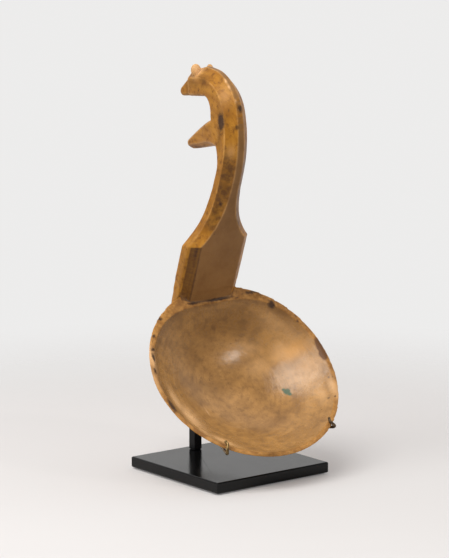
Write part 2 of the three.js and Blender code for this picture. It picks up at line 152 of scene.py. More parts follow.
# Paler places: mostly painted highlights, sheen and reflection, with a few rubbed spots and a scratch
PALE_HIGHLIGHT_MARKS = [
    # arch and neck, with a painted highlight on the arch bevel and painted glints along a crease
    ((-5.6, 142.3, 129.5), ALONG_ARCH, 11.0, 5.0, 0.2),
    ((-5.8, 111.5, 106.7), ALONG_NECK, 6.0, 4.0, 0.28),
    ((-1.9, 152.0, 133.1), LENGTHWISE, 2.6, 0.8, 1.3),
    ((-1.9, 147.0, 133.4), LENGTHWISE, 2.2, 0.8, 1.2),
    ((-1.2, 135.2, 131.3), ALONG_ARCH, 2.0, 0.8, 1.1),
    # ears: painted highlights
    ((-6.7, 178.0, 116.4), UP_HEAD, 6.5, 5.6, 1.4),
    ((6.0, 177.2, 117.4), UP_HEAD, 5.0, 4.0, 1.0),
    # rim: painted highlights along its edges
    ((63.5, -27.0, -3.4), LENGTHWISE, 14.0, 5.0, 1.0),
    ((-65.5, 26.0, -3.0), LENGTHWISE, 24.0, 4.0, 0.9),
    ((-70.0, 8.0, -3.2), LENGTHWISE, 12.0, 2.2, 0.6),
    # bowl: painted light and sheen on the right wall and in the middle, a painted reflection along the lower
    # left wall, and a pale scratch
    ((52.0, -10.0, -15.0), LENGTHWISE, 22.0, 12.0, 0.36),
    ((54.0, 29.0, -9.0), LENGTHWISE, 12.0, 7.0, 0.3),
    ((28.0, 14.0, -26.0), ACROSS, 13.0, 10.0, 0.32),
    ((26.0, 28.0, -23.5), ACROSS, 12.0, 8.0, 0.3),
    ((48.0, -28.0, -15.0), RISING, 12.0, 8.0, 0.2),
    ((-56.0, -8.0, -12.0), LENGTHWISE, 13.0, 6.0, 1.1),
    ((-50.5, -23.0, -13.2), DOWN_LEFT_WALL, 14.0, 10.5, 1.3),
    ((-49.0, -38.0, -7.5), DOWN_LEFT_WALL, 10.0, 6.0, 0.9),
    ((-39.0, -46.5, -8.5), FALLING, 14.0, 6.5, 0.9),
    ((-28.0, -12.0, -26.2), LENGTHWISE, 13.0, 0.7, 0.6),
    ((55.5, -25.0, -9.6), LENGTHWISE, 14.0, 8.0, 0.5),
    ((45.0, 18.0, -18.0), RISING, 13.0, 8.0, 0.5),
    ((46.0, 38.0, -9.0), FALLING, 16.0, 9.0, 0.35),
    ((0.0, -6.0, -31.0), ACROSS, 16.0, 9.0, 0.14),
]
# Painted light: the brightly lit right wall of the bowl, painted a light gold
LIT_WALL_MARKS = [
    ((52.5, 14.5, -14.5), UP_RIGHT_WALL, 17.0, 8.0, 0.52),
    ((58.0, 2.0, -12.0), UP_RIGHT_WALL, 14.0, 9.0, 0.2),
]
# The brown patch on the right side of the rim
SCORCHED_MARKS = [
    ((68.8, 9.5, -3.7), LENGTHWISE, 6.5, 2.2, 2.5),
    ((68.4, 3.0, -3.9), LENGTHWISE, 5.0, 2.5, 2.5),
]
# The green spot in the bowl
GREEN_MARKS = [
    ((38.4, -11.8, -22.7), ACROSS, 2.8, 3.0, 1.2),
    ((37.2, -9.8, -23.2), ACROSS, 2.2, 2.0, 0.9),
    ((39.2, -14.6, -22.2), ACROSS, 2.0, 2.0, 0.9),
]


# Node trees
class Graph:
    """A node tree, with short calls that add nodes and join them."""

    def __init__(self, owner):
        owner.use_nodes = True
        self.owner = owner
        self.tree = owner.node_tree

    def put(self, socket, value):
        if isinstance(value, bpy.types.NodeSocket):
            self.tree.links.new(value, socket)
        elif socket.type == "RGBA":
            socket.default_value = (*value, 1.0)
        else:
            socket.default_value = value

    def node(self, kind, inputs=(), **settings):
        made = self.tree.nodes.new("ShaderNode" + kind)
        for key, value in settings.items():
            setattr(made, key, value)
        for key, value in dict(inputs).items():
            self.put(made.inputs[key], value)
        return made

    def finish(self, **sockets):
        """Sets the surface's sockets; underscores in the names stand for spaces."""
        surface = self.tree.nodes["Principled BSDF"]
        for key, value in sockets.items():
            self.put(surface.inputs[key.replace("_", " ")], value)
        return self.owner

    def place(self):
        return self.node("TexCoord").outputs["Object"]

    def attribute(self, name):
        return self.node("Attribute", attribute_name=name).outputs["Fac"]

    def vector(self, name):
        return self.node("Attribute", attribute_name=name).outputs["Vector"]

    def noise(self, place, scale, detail=4.0, roughness=0.55, twist=0.0):
        spread = self.node("Mapping", {"Vector": place, "Scale": scale})
        inputs = {
            "Vector": spread.outputs["Vector"],
            "Scale": 1.0,
            "Detail": detail,
            "Roughness": roughness,
            "Distortion": twist,
        }
        return self.node("TexNoise", inputs).outputs[0]

    def cells(self, place, scale):
        spread = self.node("Mapping", {"Vector": place, "Scale": scale})
        inputs = {"Vector": spread.outputs["Vector"], "Scale": 1.0}
        return self.node("TexVoronoi", inputs, feature="SMOOTH_F1").outputs["Distance"]

    def span(self, value, low, high, start=0.0, end=1.0):
        """A value between low and high, eased to run from start to end."""
        inputs = {"Value": value, "From Min": low, "From Max": high, "To Min": start, "To Max": end}
        return self.node("MapRange", inputs, interpolation_type="SMOOTHSTEP").outputs["Result"]

    def maths(self, operation, a, b):
        return self.node("Math", {0: a, 1: b}, operation=operation).outputs[0]

    def scaled(self, a, share):
        return self.maths("MULTIPLY", a, share)

    def dot(self, a, b):
        return self.node("VectorMath", {0: a, 1: b}, operation="DOT_PRODUCT").outputs["Value"]

    def mix(self, share, a, b):
        return self.node("Mix", {0: share, 6: a, 7: b}, data_type="RGBA").outputs[2]

    def mix_value(self, share, a, b):
        return self.node("Mix", {0: share, 2: a, 3: b}, data_type="FLOAT").outputs[0]

    def layers(self, colour, listed):
        """Lays colours over one another: a noise, its low and high, the greatest share, the colour."""
        for value, low, high, share, over in listed:
            colour = self.mix(self.span(value, low, high, 0.0, share), colour, over)
        return colour

    def bump(self, height, depth, under=None):
        inputs = {"Height": height, "Distance": depth, "Strength": 1.0}
        if under is not None:
            inputs["Normal"] = under
        return self.node("Bump", inputs).outputs["Normal"]


def new_material(name):
    return Graph(bpy.data.materials.new(name))


# Objects
def add_object(name, data):
    made = bpy.data.objects.new(name, data)
    scene.collection.objects.link(made)
    return made


def cover(mesh, material):
    mesh.materials.clear()
    mesh.materials.append(material)


# Mesh work in millimetres
class Skin:
    """The points of an even mesh, with calls that smooth them and push them along their normals."""

    def __init__(self, mesh):
        self.mesh = mesh
        self.points = np.zeros(len(mesh.vertices) * 3, np.float32)
        mesh.vertices.foreach_get("co", self.points)
        self.points = self.points.reshape(-1, 3).astype(float) / MM
        edges = np.zeros(len(mesh.edges) * 2, np.int32)
        mesh.edges.foreach_get("vertices", edges)
        self.starts, self.ends = edges.reshape(-1, 2).T
        self.links = np.bincount(edges, minlength=len(self.points))

    def around(self, values):
        """The mean of each point's neighbours."""
        count = len(self.points)
        total = np.bincount(self.starts, values[self.ends], count)
        total += np.bincount(self.ends, values[self.starts], count)
        return total / self.links

    def smooth(self, rounds, mask=1.0):
        for _ in range(rounds):
            for axis in range(3):
                column = self.points[:, axis]
                self.points[:, axis] = column + 0.5 * mask * (self.around(column) - column)

    def soften(self, values, rounds):
        for _ in range(rounds):
            values = 0.5 * values + 0.5 * self.around(values)
        return values

    def bulge(self, rounds):
        """How far each point stands out of its surroundings, in millimetres."""
        soft = np.stack([self.soften(column, rounds) for column in self.points.T], axis=1)
        return ((self.points - soft) * self.normals()).sum(axis=1)

    def normals(self):
        self.write()
        found = np.zeros(len(self.points) * 3, np.float32)
        self.mesh.vertex_normals.foreach_get("vector", found)
        return found.reshape(-1, 3).astype(float)

    def push(self, distance):
        self.points += self.normals() * distance[:, None]

    def write(self):
        self.mesh.vertices.foreach_set("co", (self.points * MM).astype(np.float32).ravel())
        self.mesh.update()

    def paint(self, name, values):
        layer = self.mesh.attributes.new(name, "FLOAT", "POINT")
        layer.data.foreach_set("value", np.asarray(values, np.float32))

    def paint_place(self, name, places):
        layer = self.mesh.attributes.new(name, "FLOAT_VECTOR", "POINT")
        layer.data.foreach_set("vector", np.asarray(places, np.float32).ravel())


def ease(values, low, high):
    """Rises softly from 0 at low to 1 at high."""
    share = np.clip((values - low) / (high - low), 0.0, 1.0)
    return share * share * (3.0 - 2.0 * share)


def fade(values, low, high):
    """Falls softly from 1 at low to 0 at high."""
    return ease(-values, -high, -low)


def even_mesh(mesh, voxel):
    """A closed mesh of even squares over a CAD mesh."""
    rough = add_object("rough", mesh)
    remesh = rough.modifiers.new("even", "REMESH")
    remesh.mode = "VOXEL"
    remesh.voxel_size = voxel
    graph = bpy.context.evaluated_depsgraph_get()
    even = bpy.data.meshes.new_from_object(rough.evaluated_get(graph))
    bpy.data.objects.remove(rough)
    even.shade_smooth()
    return even


def rolling(points, size, seed):
    """Soft noise over points, with lumps of about the given size."""
    offset = Vector((seed * 17.0, seed * 5.0, seed * 11.0))
    return np.array([noise.noise(Vector(p) / size + offset) for p in points])


MARK_FALL = 1.4
MARK_REACH = 3.0


def marks(points, listed):
    """How strongly each point lies in the listed marks."""
    total = np.zeros(len(points))
    for centre, direction, half_length, half_width, strength in listed:
        away = points - np.array(centre)
        near = np.abs(away).max(axis=1) < MARK_REACH * max(half_length, half_width)
        away = away[near]
        lengthwise = away @ np.array(direction)
        sideways = (away * away).sum(axis=1) - lengthwise ** 2
        spread = (lengthwise / half_length) ** 2 + sideways / half_width ** 2
        total[near] = np.maximum(total[near], strength * np.exp(-MARK_FALL * spread))
    return total


# Grain follows the bend of the wood: straight through the bowl, then up the handle and over the arch
GRAIN_STEP = 3.0
GRAIN_START = -90.0
GRAIN_BEND = 45.0
GRAIN_HEIGHT = -12.0
# length and turn of each leg after the first bend
GRAIN_LEGS = [(30.0, HANDLE_RISE), (81.0, 0.0), (41.0, -32.0), (34.0, -78.0), (45.0, -8.0)]
GRAIN_BATCH = 20000


def grain_line():
    """Points along the grain in the plane across which the ladle is even."""
    steps = [(y, GRAIN_HEIGHT) for y in np.arange(GRAIN_START, GRAIN_BEND, GRAIN_STEP)]
    y, z = steps[-1]
    bearing = 0.0
    for length, turn in GRAIN_LEGS:
        count = int(length / GRAIN_STEP)
        for _ in range(count):
            bearing += turn / count
            y += GRAIN_STEP * math.cos(math.radians(bearing))
            z += GRAIN_STEP * math.sin(math.radians(bearing))
            steps.append((y, z))
    return np.array(steps)


def follow_grain(points):
    """Across, outward and along the grain for each point, and the direction outward there."""
    line = grain_line()
    ahead = np.gradient(line, axis=0)
    ahead /= np.linalg.norm(ahead, axis=1)[:, None]
    places = np.zeros_like(points)
    outward = np.zeros_like(points)
    places[:, 0] = points[:, 0]
    for start in range(0, len(points), GRAIN_BATCH):
        part = slice(start, start + GRAIN_BATCH)
        side = points[part, 1:]
        away = side[:, None, :] - line[None]
        nearest = (away ** 2).sum(axis=2).argmin(axis=1)
        gap = away[np.arange(len(side)), nearest]
        heading = ahead[nearest]
        outward[part, 1] = -heading[:, 1]
        outward[part, 2] = heading[:, 0]
        places[part, 1] = (gap * outward[part, 1:]).sum(axis=1)
        places[part, 2] = GRAIN_STEP * nearest + (gap * heading).sum(axis=1)
    return places, outward


# Carving. A pair is a soft limit, its low and its high end. Lengths are in millimetres, facings are cosines
# and the sector is in degrees.
VOXEL = 0.55 * MM
VOXEL_ROUNDS = 2
SHELL_ROUNDS = 100
SHELL_DEPTHS = (2.0, 7.0)
RIM_MIDDLE = -1.0
RIM_MARGIN = (2.0, 6.0)
CALM_DEPTHS = (8.0, 16.0)
CALM_SHARE = 0.75
WAVES = [(0.14, 13.0, 1), (0.06, 5.0, 2)]  # height, size and seed
HANDLE_GROWTH = 0.25
HANDLE_GROWTH_HEIGHTS = (3.0, 6.0)

# the outer edge of the rim, which voxels leave uneven
EDGE_ROUNDS = 12
EDGE_DEPTH = 0.6
EDGE_BAND = (1.6, 3.4)
EDGE_RADII = (66.0, 68.0)
EDGE_REACH = 2.4
EDGE_SHORTFALL = 0.7
HANDLE_BEARING = 90.0
HANDLE_SECTOR = (19.6, 22.6)

# worn edges, lighter partly as a painted highlight along the creases, and concave creases that are painted
# darker
BULGE_ROUNDS = 6
WORN_BULGE = (0.03, 0.14)
WORN_HEIGHTS = (40.0, 48.0)
LEAST_WEAR = 0.25
CREASE_BULGE = (0.03, 0.16)

# the lip on which the plate stands: a point of it, its slopes, and the outer side that counts as plate
LIP_POINT = (18.8, 62.7, -2.0)
LIP_SLOPE_ACROSS = 0.094
LIP_SLOPE_ALONG = 0.29
OUTER_SIDE = (69.8, 71.6)
OUTER_SIDE_LIFT = 4.5

# the plate and the rest of the handle
HANDLE_HEIGHTS = (1.0, 4.0)
FOOT_LIFT = (0.3, 0.9)
FOOT_START = (59.4, 60.2)
FOOT_HALF_WIDTH = (25.0, 25.8)
STRAIGHT_HEIGHT = 60.0
FRONT_FACING = (0.84, 0.94)
BEVEL_FACING = (0.4, 0.6)
FACE_OFFSET = 59.07
FACE_DEPTH = (0.4, 0.9)
FACE_HALF_WIDTH = (17.4, 18.4)
FACE_TOP = (38.0, 44.0)
FACE_LIFT = (0.1, 0.6)
HANDLED_START = (46.0, 60.0)
HANDLED_END = (96.0, 116.0)

# the dark stain on the plate's left bevel and at its foot; a plane is its normal and its offset
BEVEL_PLANE = ((0.67, 0.69, -0.27), 32.1)
BEVEL_DEPTH = (1.6, 2.6)
BEVEL_LEFT = (-23.3, -22.7)
BEVEL_RIGHT = (-17.4, -16.6)
BEVEL_LIFT = (0.0, 0.5)
STAIN_TOP_NORMAL = (0.136, 0.806, 0.576)
STAIN_TOP = (84.6, 85.4)
STAIN_FOOT_SLOPE = 0.35
STAIN_FOOT_FRONT = (56.0, 56.6)
STAIN_FOOT_BACK = (69.8, 70.4)
STAIN_FOOT_LEFT = (-23.9, -23.3)
STAIN_FOOT_RIGHT = (-17.4, -16.8)
STAIN_FOOT_LOW = (-3.0, -2.6)
STAIN_FOOT_HIGH = (1.0, 1.6)

# the lip and the hollow of the bowl
LIP_RADII = (54.0, 56.0)
LIP_DEPTHS = (5.5, 6.5)
LIP_FACING = (0.82, 0.93)
LIP_ROUNDS = 6
LIP_SHARE = (0.3, 0.7)
HOLLOW_DEPTHS = (0.3, 1.2)
HOLLOW_FACING = (0.1, 0.3)
HOLLOW_RADII = (69.0, 71.0)
SHADED_DEPTHS = (2.0, 7.0)
SHADED_SIDE_SLOPE = 0.6
SHADED_SIDE = (-20.0, 10.0)
POLISHED_DEPTHS = (12.0, 24.0)
TURNING_RADIUS = 55.0


def depth_below_rim(points):
    x, _, z = points.T
    return -(z + RIM_BOW * (x / BOWL_RADIUS) ** 2)


def true_rim(skin):
    """Evens the edge of the rim, and draws it out again to its full outline."""
    x, y, _ = skin.points.T
    bearing = np.degrees(np.arctan2(y, x))
    on_edge = fade(np.abs(depth_below_rim(skin.points) - EDGE_DEPTH), *EDGE_BAND)
    on_edge *= ease(np.abs(bearing - HANDLE_BEARING), *HANDLE_SECTOR)
    on_edge *= ease(np.hypot(x, y), *EDGE_RADII)
    skin.smooth(EDGE_ROUNDS, on_edge)
    radius = np.hypot(x, y)
    # the widest point of each degree, averaged over its neighbours
    slot = (bearing + 180.0).astype(int) % 360
    widest = np.zeros(360)
    np.maximum.at(widest, slot, np.where(on_edge > 0.0, radius, 0.0))
    widest = np.where(widest > 0.0, widest, BOWL_RADIUS - EDGE_SHORTFALL)
    widest = np.mean([np.roll(widest, k) for k in range(-2, 3)], axis=0)[slot]
    outline = BOWL_RADIUS + RIM_SWELL * np.exp(-(((bearing - SWELL_BEARING) / SWELL_SPREAD) ** 2))
    drawn = (outline - widest) * on_edge * ease(radius - widest, -EDGE_REACH, 0.0)
    grow = 1.0 + drawn / np.maximum(radius, 1.0)
    skin.points[:, :2] *= grow[:, None]


def carve_ladle():
    """The ladle in even mesh, with hand-cut waves, soft creases and a true rim."""
    pose = Matrix.Translation(RIM_CENTRE)
    pose = pose @ Euler([math.radians(a) for a in LADLE_TURN], "XYZ").to_matrix().to_4x4()
    solid = nodes["ladle"].data.copy()
    solid.transform(pose.inverted())
    skin = Skin(even_mesh(solid, VOXEL))
    below_rim = depth_below_rim(skin.points)
    skin.smooth(VOXEL_ROUNDS)
    skin.smooth(SHELL_ROUNDS, ease(below_rim, *SHELL_DEPTHS))
    away_from_rim = ease(np.abs(below_rim - RIM_MIDDLE), *RIM_MARGIN)
    calm = 1.0 - CALM_SHARE * ease(below_rim, *CALM_DEPTHS)
    waves = sum(height * rolling(skin.points, size, seed) for height, size, seed in WAVES)
    growth = HANDLE_GROWTH * ease(skin.points[:, 2], *HANDLE_GROWTH_HEIGHTS)
    skin.push(waves * calm * away_from_rim + growth)
    true_rim(skin)
    paint_ladle(skin)
    skin.mesh.transform(pose)
    carving = add_object("ladle_carving", skin.mesh)
    cover(skin.mesh, wood())
    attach(carving, "ladle")
    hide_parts("ladle")


def paint_ladle(skin):
    """Paints where the wood is worn, with painted highlights along its edges, darker in its concave creases,
    stained, marked or cut to face the front, where it gets painted shade.
    """
    normals = skin.normals()
    places, outward = follow_grain(skin.points)
    skin.paint_place("grain", places)
    skin.paint_place("spot", skin.points * MM)
    bulge = skin.bulge(BULGE_ROUNDS)
    upper = LEAST_WEAR + (1.0 - LEAST_WEAR) * ease(skin.points[:, 2], *WORN_HEIGHTS)
    # convex edges, lighter as wear and as a painted highlight along the creases
    skin.paint("wear", ease(bulge, *WORN_BULGE) * upper)
    # concave creases, painted darker
    skin.paint("crease_dark", ease(-bulge, *CREASE_BULGE))
    on_handle = paint_handle(skin, normals, outward)
    paint_bowl(skin, normals, on_handle)
    for name, listed in (
        ("burnt", BURNT_MARKS),
        ("brown", BROWN_AND_SHADE_MARKS),
        ("pale", PALE_HIGHLIGHT_MARKS),
        ("golden", LIT_WALL_MARKS),
        ("scorched", SCORCHED_MARKS),
        ("green", GREEN_MARKS),
    ):
        skin.paint(name, marks(skin.points, listed))


def paint_handle(skin, normals, outward):
    """Paints the handle's front, which gets painted shade, its stain and handled bevels. Returns how much
    each point is handle.
    """
    x, y, z = skin.points.T
    lip_x, lip_y, lip_z = LIP_POINT
    above_lip = z - lip_z - LIP_SLOPE_ALONG * (y - lip_y) - LIP_SLOPE_ACROSS * (np.abs(x) - lip_x)
    above_lip = above_lip + OUTER_SIDE_LIFT * ease(np.hypot(x, y), *OUTER_SIDE)
    on_foot = ease(above_lip, *FOOT_LIFT) * ease(y, *FOOT_START) * fade(np.abs(x), *FOOT_HALF_WIDTH)
    on_handle = np.maximum(ease(z, *HANDLE_HEIGHTS), on_foot)

    rise = math.radians(HANDLE_RISE)
    outward[z < STRAIGHT_HEIGHT] = (0.0, -math.sin(rise), math.cos(rise))
    toward_front = (normals * outward).sum(axis=1)
    front = ease(toward_front, *FRONT_FACING)
    bevel = ease(toward_front, *BEVEL_FACING) * (1.0 - front)
    from_face = np.abs(y * math.sin(rise) - z * math.cos(rise) - FACE_OFFSET)
    on_face = fade(from_face, *FACE_DEPTH) * fade(np.abs(x), *FACE_HALF_WIDTH) * fade(z, *FACE_TOP)
    on_face *= ease(above_lip, *FACE_LIFT)
    # the faces toward the front, which are painted darker and browner as shade
    skin.paint("front", np.maximum(front * on_handle, on_face))
    skin.paint("handled", bevel * ease(z, *HANDLED_START) * fade(z, *HANDLED_END))

    normal, offset = BEVEL_PLANE
    on_bevel = fade(np.abs(skin.points @ np.array(normal) - offset), *BEVEL_DEPTH)
    on_bevel *= ease(x, *BEVEL_LEFT) * fade(x, *BEVEL_RIGHT) * ease(above_lip, *BEVEL_LIFT)
    on_bevel *= fade(skin.points @ np.array(STAIN_TOP_NORMAL), *STAIN_TOP)
    at_foot = ease(y + STAIN_FOOT_SLOPE * x, *STAIN_FOOT_FRONT) * fade(y, *STAIN_FOOT_BACK)
    at_foot *= ease(x, *STAIN_FOOT_LEFT) * fade(x, *STAIN_FOOT_RIGHT)
    at_foot *= ease(z, *STAIN_FOOT_LOW) * fade(z, *STAIN_FOOT_HIGH)
    skin.paint("stained", np.maximum(on_bevel, at_foot))
    return on_handle


def paint_bowl(skin, normals, on_handle):
    """Paints the lip, the hollow of the bowl and what is shaded or polished in it."""
    x, y, _ = skin.points.T
    radius = np.hypot(x, y)
    below_rim = depth_below_rim(skin.points)
    upward = normals[:, 2]
    lip = ease(upward, *LIP_FACING) * ease(radius, *LIP_RADII) * fade(below_rim, *LIP_DEPTHS)
    lip = ease(skin.soften(lip * (1.0 - on_handle), LIP_ROUNDS), *LIP_SHARE)
    hollow = ease(below_rim, *HOLLOW_DEPTHS) * ease(upward, *HOLLOW_FACING) * fade(radius, *HOLLOW_RADII)
    hollow *= (1.0 - lip) * (1.0 - on_handle)
    shaded_side = ease(y - SHADED_SIDE_SLOPE * x, *SHADED_SIDE)
    skin.paint("lip", lip)
    skin.paint("hollow", hollow)
    skin.paint("edge", hollow * fade(below_rim, *SHADED_DEPTHS) * shaded_side)
    skin.paint("polished", hollow * ease(below_rim, *POLISHED_DEPTHS))
    bearing = np.arctan2(y, x)
    turning = (radius, TURNING_RADIUS * np.cos(bearing), TURNING_RADIUS * np.sin(bearing))
    skin.paint_place("turning", np.stack(turning, axis=1))


# Colours of the wood
GOLD_DARK = (0.36, 0.142, 0.014)
GOLD_LIGHT = (0.5, 0.222, 0.026)
GOLD_CLOUD = (0.23, 0.088, 0.01)
GOLD_MOTTLE = (0.17, 0.06, 0.01)
GOLD_FIBRE = (0.2, 0.078, 0.012)
# painted shade: the front of the handle, darker and browner
SHADED_FRONT_LIGHT = (0.3, 0.152, 0.052)
SHADED_FRONT_DARK = (0.24, 0.118, 0.038)
TAN_LIGHT = (0.455, 0.234, 0.069)
TAN_DARK = (0.3, 0.15, 0.044)
TAN_GROOVE = (0.2, 0.1, 0.032)
TAN_RIDGE = (0.52, 0.28, 0.09)
TAN_MOTTLE = (0.18, 0.09, 0.03)
TAN_SHADE = (0.15, 0.07, 0.02)
LIP_LIGHT = (0.48, 0.235, 0.065)
LIP_DARK = (0.3, 0.13, 0.03)
LIP_SPECK = (0.16, 0.07, 0.025)
LIP_CLOUD = (0.17, 0.075, 0.025)
# painted light on the lit right wall of the bowl
LIT_GOLD = (0.9, 0.46, 0.14)
PORE = (0.1, 0.04, 0.01)
SPECK = (0.09, 0.038, 0.013)
HANDLED = (0.13, 0.056, 0.015)
# patina, and painted shade where the brown marks stand for it
PATINA_AND_SHADE = (0.12, 0.053, 0.015)
# paler colour: mostly painted highlight, sheen and reflection, a little rubbed wood
HIGHLIGHT_AND_RUBBED = (0.9, 0.545, 0.265)
# worn edges, partly a painted highlight along the creases
WORN_AND_HIGHLIGHT = (0.74, 0.4, 0.13)
# darker colour for concave creases
CREASE_DARK = (0.05, 0.028, 0.018)
STAIN = (0.058, 0.026, 0.013)
SCORCH = (0.14, 0.068, 0.036)
BURN = (0.042, 0.02, 0.012)
GREEN = (0.06, 0.15, 0.11)

# Gloss of the wood, and the depth of its bumps in metres
PLAIN_GLOSS = 0.2
HOLLOW_GLOSS = 0.32
WORN_GLOSS = 0.12
DULL_SHARE = 0.75
PLAIN_ROUGHNESS = (0.36, 0.5)
POLISHED_ROUGHNESS = (0.17, 0.24)
HOLLOW_SMOOTHING = 0.12
BURNT_ROUGHENING = 0.12
HOLLOW_BUMP_LOSS = 0.74
CUT_DEPTH = 0.0003
SCRAPE_DEPTH = 0.00012
FIBRE_DEPTH = 0.00012
PORE_DEPTH = 0.00009


class WoodNoise:
    """The noises that the wood's colour, gloss and bumps share. Only spot is in metres."""

    def __init__(self, g):
        place, grain, turning = (g.vector(name) for name in ("spot", "grain", "turning"))
        self.streaks = g.noise(grain, (0.2, 0.2, 0.012), detail=5.0, roughness=0.6, twist=0.5)
        self.fibres = g.noise(grain, (1.6, 1.6, 0.08), detail=5.0, roughness=0.65)
        self.pores = g.noise(grain, (3.0, 3.0, 0.4), detail=3.0, roughness=0.6)
        self.figure = g.noise(grain, (0.05, 0.05, 0.75), detail=4.0, roughness=0.65, twist=0.6)
        self.clouds = g.noise(place, (60.0, 60.0, 60.0), detail=5.0, roughness=0.62)
        self.mottle = g.noise(place, (230.0, 230.0, 230.0), detail=5.0, roughness=0.65)
        self.ragged = g.noise(place, (430.0, 430.0, 430.0), detail=4.0, roughness=0.65)
        self.scrapes = g.noise(turning, (0.42, 0.035, 0.035), detail=5.0, roughness=0.6, twist=0.3)
        self.cuts = g.cells(place, (150.0, 150.0, 110.0))


def clean_wood(g, n, hollow):
    """The golden handle, its front painted darker and browner as painted shade, the tan bowl and the lip,
    before marks and wear.
    """
    gold = g.mix(g.span(n.streaks, 0.3, 0.7), GOLD_DARK, GOLD_LIGHT)
    gold = g.layers(gold, (
        (n.clouds, 0.42, 0.72, 0.55, GOLD_CLOUD),
        (n.mottle, 0.5, 0.68, 0.75, GOLD_MOTTLE),
        (n.fibres, 0.5, 0.8, 0.4, GOLD_FIBRE),
    ))
    face = g.mix(g.span(n.clouds, 0.35, 0.7), SHADED_FRONT_LIGHT, SHADED_FRONT_DARK)
    tan = g.mix(g.span(n.clouds, 0.32, 0.7), TAN_LIGHT, TAN_DARK)
    tan = g.layers(tan, (
        (n.scrapes, 0.45, 0.7, 0.32, TAN_GROOVE),
        (n.scrapes, 0.4, 0.28, 0.25, TAN_RIDGE),
        (n.mottle, 0.47, 0.72, 0.5, TAN_MOTTLE),
        (n.fibres, 0.5, 0.72, 0.4, TAN_GROOVE),
    ))
    tan = g.mix(g.scaled(g.attribute("edge"), 0.5), tan, TAN_SHADE)
    lip = g.mix(g.span(n.mottle, 0.35, 0.65), LIP_LIGHT, LIP_DARK)
    lip = g.layers(lip, (
        (n.ragged, 0.5, 0.7, 0.45, LIP_SPECK),
        (n.clouds, 0.5, 0.68, 0.55, LIP_CLOUD),
    ))
    # painted shade on the front of the handle
    colour = g.mix(g.attribute("front"), gold, face)
    colour = g.mix(hollow, colour, tan)
    return g.mix(g.attribute("lip"), colour, lip)


def torn_edge(g, name, ragged):
    """A painted mark with an uneven edge."""
    mark = g.attribute(name)
    torn = g.scaled(g.maths("SUBTRACT", ragged, 0.5), 1.1)
    return g.span(g.maths("ADD", mark, g.scaled(torn, g.span(mark, 0.02, 0.3))), 0.1, 0.8)


def wood():
    """Oiled wood with wear, patina, stains and marks where they are painted, among them painted highlights,
    painted light and painted shade.
    """
    g = new_material("carved_wood")
    n = WoodNoise(g)
    hollow, wear, brown, golden = (g.attribute(name) for name in ("hollow", "wear", "brown", "golden"))
    scorched, burnt, green = (torn_edge(g, name, n.ragged) for name in ("scorched", "burnt", "green"))

    # wear, patina and stains, with painted highlights and painted shade among them
    # painted light: the lit right wall of the bowl in light gold
    colour = g.mix(golden, clean_wood(g, n, hollow), LIT_GOLD)
    colour = g.layers(colour, (
        (n.pores, 0.6, 0.78, 0.45, PORE),
        (n.ragged, 0.67, 0.71, 0.55, SPECK),
    ))
    handled = g.scaled(g.attribute("handled"), g.span(n.mottle, 0.36, 0.62, 0.6, 1.25))
    stained = g.scaled(g.attribute("stained"), g.span(n.streaks, 0.35, 0.65, 0.98, 0.74))
    stained = g.scaled(stained, g.span(n.figure, 0.36, 0.64, 0.9, 1.03))
    # a painted mask, a noise with its low and high, the share at each, and the colour
    for painted, value, low, high, start, end, over in (
        (handled, n.clouds, 0.3, 0.6, 0.4, 0.85, HANDLED),
        # the brown marks: patina, with painted shade on the neck's front, under the forelimb and in the top
        # of the bowl
        (brown, n.mottle, 0.25, 0.7, 0.5, 1.0, PATINA_AND_SHADE),
        # the pale marks: painted highlights and reflections, with a few rubbed spots
        (g.attribute("pale"), n.clouds, 0.25, 0.7, 0.85, 0.5, HIGHLIGHT_AND_RUBBED),
        # worn edges, partly a painted highlight along the creases
        (wear, n.clouds, 0.38, 0.66, 0.64, 0.08, WORN_AND_HIGHLIGHT),
        # concave creases, darker
        (g.attribute("crease_dark"), n.ragged, 0.3, 0.6, 0.2, 0.8, CREASE_DARK),
        (stained, n.mottle, 0.38, 0.6, 1.03, 0.84, STAIN),
    ):
        colour = g.mix(g.scaled(painted, g.span(value, low, high, start, end)), colour, over)
    for mark, share, over in ((scorched, 0.9, SCORCH), (burnt, 0.92, BURN), (green, 0.84, GREEN)):
        colour = g.mix(g.scaled(mark, share), colour, over)

    roughness = g.span(n.mottle, 0.3, 0.75, *PLAIN_ROUGHNESS)
    roughness = g.maths("SUBTRACT", roughness, g.scaled(hollow, HOLLOW_SMOOTHING))
    polished = g.span(n.mottle, 0.3, 0.75, *POLISHED_ROUGHNESS)
    roughness = g.mix_value(g.attribute("polished"), roughness, polished)
    roughness = g.maths("ADD", roughness, g.scaled(burnt, BURNT_ROUGHENING))
    gloss = g.maths("ADD", g.scaled(hollow, HOLLOW_GLOSS), g.scaled(wear, WORN_GLOSS))
    gloss = g.maths("ADD", gloss, PLAIN_GLOSS)
    dull = brown
    for mark in (scorched, golden, green):
        dull = g.maths("MAXIMUM", dull, mark)
    gloss = g.scaled(gloss, g.maths("SUBTRACT", 1.0, g.scaled(dull, DULL_SHARE)))
    unpolished = g.maths("SUBTRACT", 1.0, g.scaled(hollow, HOLLOW_BUMP_LOSS))
    normal = None
    for height, share, depth in (
        (n.cuts, unpolished, CUT_DEPTH),
        (n.scrapes, hollow, SCRAPE_DEPTH),
        (n.fibres, unpolished, FIBRE_DEPTH),
        (n.pores, unpolished, PORE_DEPTH),
    ):
        normal = g.bump(g.scaled(height, share), depth, under=normal)
    return g.finish(Base_Color=colour, Roughness=roughness, Specular_IOR_Level=gloss, Normal=normal)


